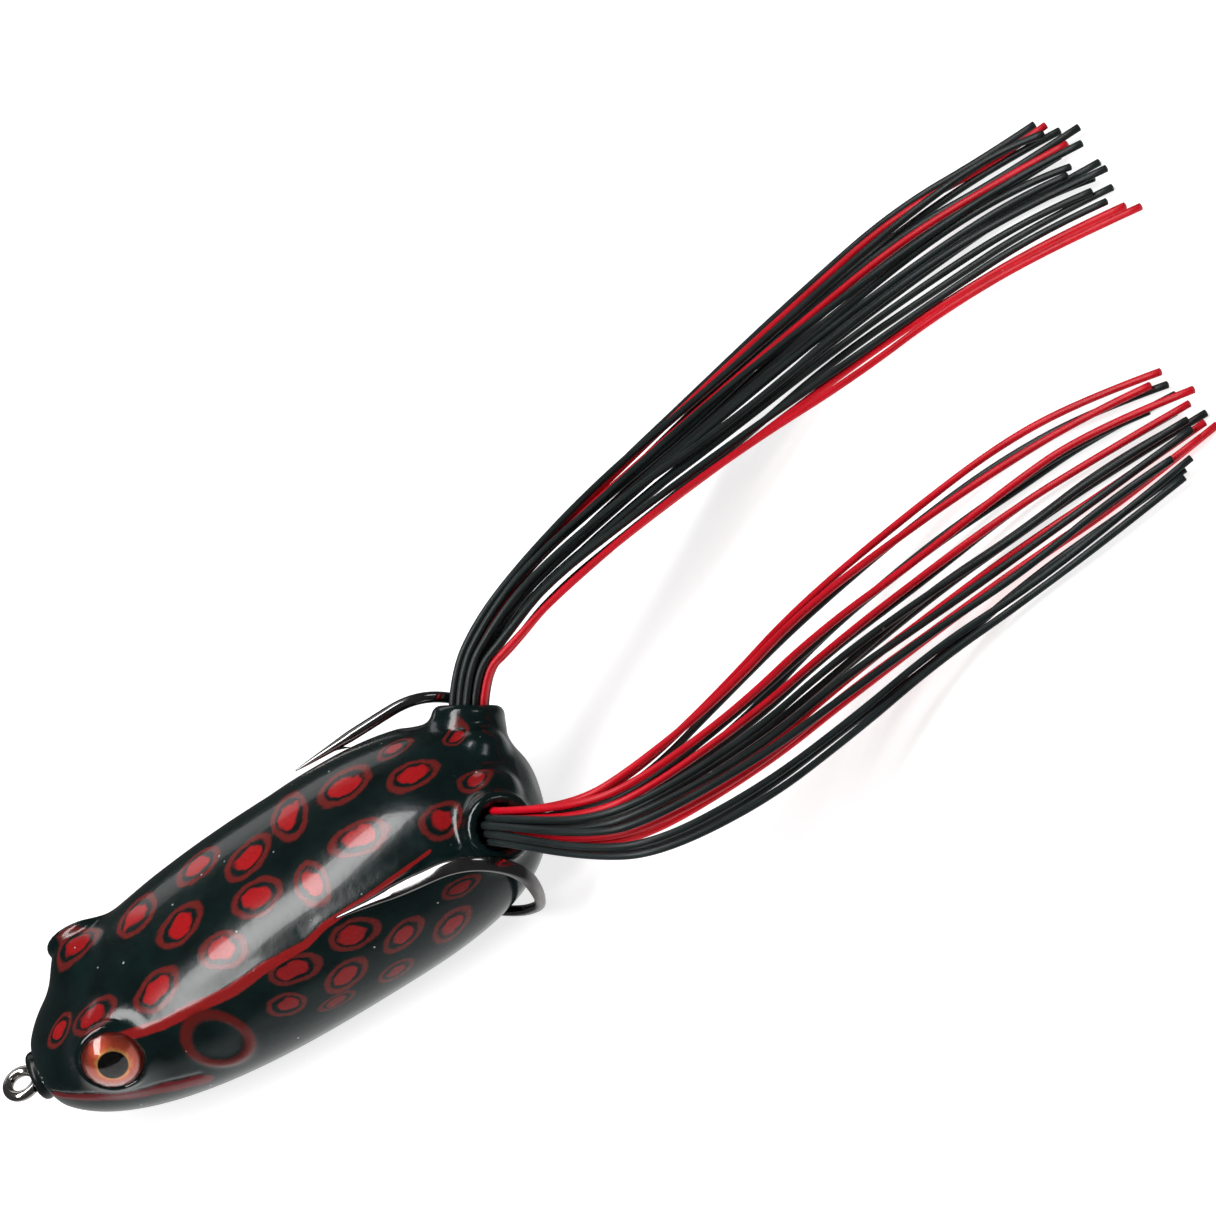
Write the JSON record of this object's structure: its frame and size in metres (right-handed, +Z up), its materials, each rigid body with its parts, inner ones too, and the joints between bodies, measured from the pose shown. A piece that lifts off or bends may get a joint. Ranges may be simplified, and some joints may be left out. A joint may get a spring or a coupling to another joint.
{
  "type": "hollow-body topwater frog lure",
  "caption": "Hollow soft-bodied topwater frog with domed eyes, an upturned double hook, a wire line tie at the nose and two skirted legs of rubber strands.",
  "frame": {"origin": "on the belly's flat, under the middle of the body's length", "axes": "+X to the nose and line tie, +Y to the frog's left, +Z up through its back"},
  "size_m": [0.1529, 0.0822, 0.0214],
  "materials": {
    "soft_skin": "glossy dark green-black soft vinyl, printed with red rings",
    "collar_rubber": "satin black",
    "iris_foil": "orange-red metallic foil with a black pupil",
    "eye_lens": "clear domed resin",
    "black_nickel": "polished black nickel",
    "braze": "dull braze",
    "weight_metal": "dull cast metal",
    "black_rubber": "satin green-black",
    "red_rubber": "satin bright red"
  },
  "bodies": {
    "frog_body": {"body_shell": "soft_skin", "nose_collar": "collar_rubber", "left_eye_foil": "iris_foil", "left_eye_lens": "eye_lens", "right_eye_foil": "iris_foil", "right_eye_lens": "eye_lens", "left_skirt_collar": "collar_rubber", "right_skirt_collar": "collar_rubber"},
    "hook": {"double_hook": "black_nickel", "shank_braze": "braze", "keel_weight": "weight_metal"},
    "left_leg": {"left_strand_01_red": "red_rubber", "left_strand_02_black": "black_rubber", "left_strand_03_red": "red_rubber", "left_strand_04_black": "black_rubber", "left_strand_05_black": "black_rubber", "left_strand_06_red": "red_rubber", "left_strand_07_black": "black_rubber", "left_strand_08_red": "red_rubber", "left_strand_09_black": "black_rubber", "left_strand_10_black": "black_rubber", "left_strand_11_black": "black_rubber", "left_strand_12_red": "red_rubber", "left_strand_13_black": "black_rubber", "left_strand_14_red": "red_rubber", "left_strand_15_red": "red_rubber", "left_strand_16_black": "black_rubber", "left_strand_17_black": "black_rubber", "left_strand_18_black": "black_rubber", "left_strand_19_black": "black_rubber"},
    "right_leg": {"right_strand_01_red": "red_rubber", "right_strand_02_red": "red_rubber", "right_strand_03_black": "black_rubber", "right_strand_04_black": "black_rubber", "right_strand_05_black": "black_rubber", "right_strand_06_black": "black_rubber", "right_strand_07_black": "black_rubber", "right_strand_08_black": "black_rubber", "right_strand_09_black": "black_rubber", "right_strand_10_black": "black_rubber", "right_strand_11_black": "black_rubber", "right_strand_12_black": "black_rubber", "right_strand_13_red": "red_rubber", "right_strand_14_black": "black_rubber", "right_strand_15_black": "black_rubber", "right_strand_16_black": "black_rubber", "right_strand_17_black": "black_rubber", "right_strand_18_red": "red_rubber", "right_strand_19_black": "black_rubber"}
  },
  "joints": [
    {"name": "hook_slide", "type": "slide", "parent": "frog_body", "child": "hook", "axis": [0.9852, 0, 0.1713], "range_m": [0, 0.0015]},
    {"name": "left_leg_swing", "type": "hinge", "parent": "frog_body", "child": "left_leg", "pos_m": [-0.0286, 0.0078, 0.01361], "axis": [0, 0, -1], "range_deg": [-6, 12], "stiffness_Nm_per_rad": 0.0002},
    {"name": "right_leg_swing", "type": "hinge", "parent": "frog_body", "child": "right_leg", "pos_m": [-0.0286, -0.0078, 0.01361], "axis": [0, 0, 1], "range_deg": [-6, 12], "stiffness_Nm_per_rad": 0.0002}
  ]
}
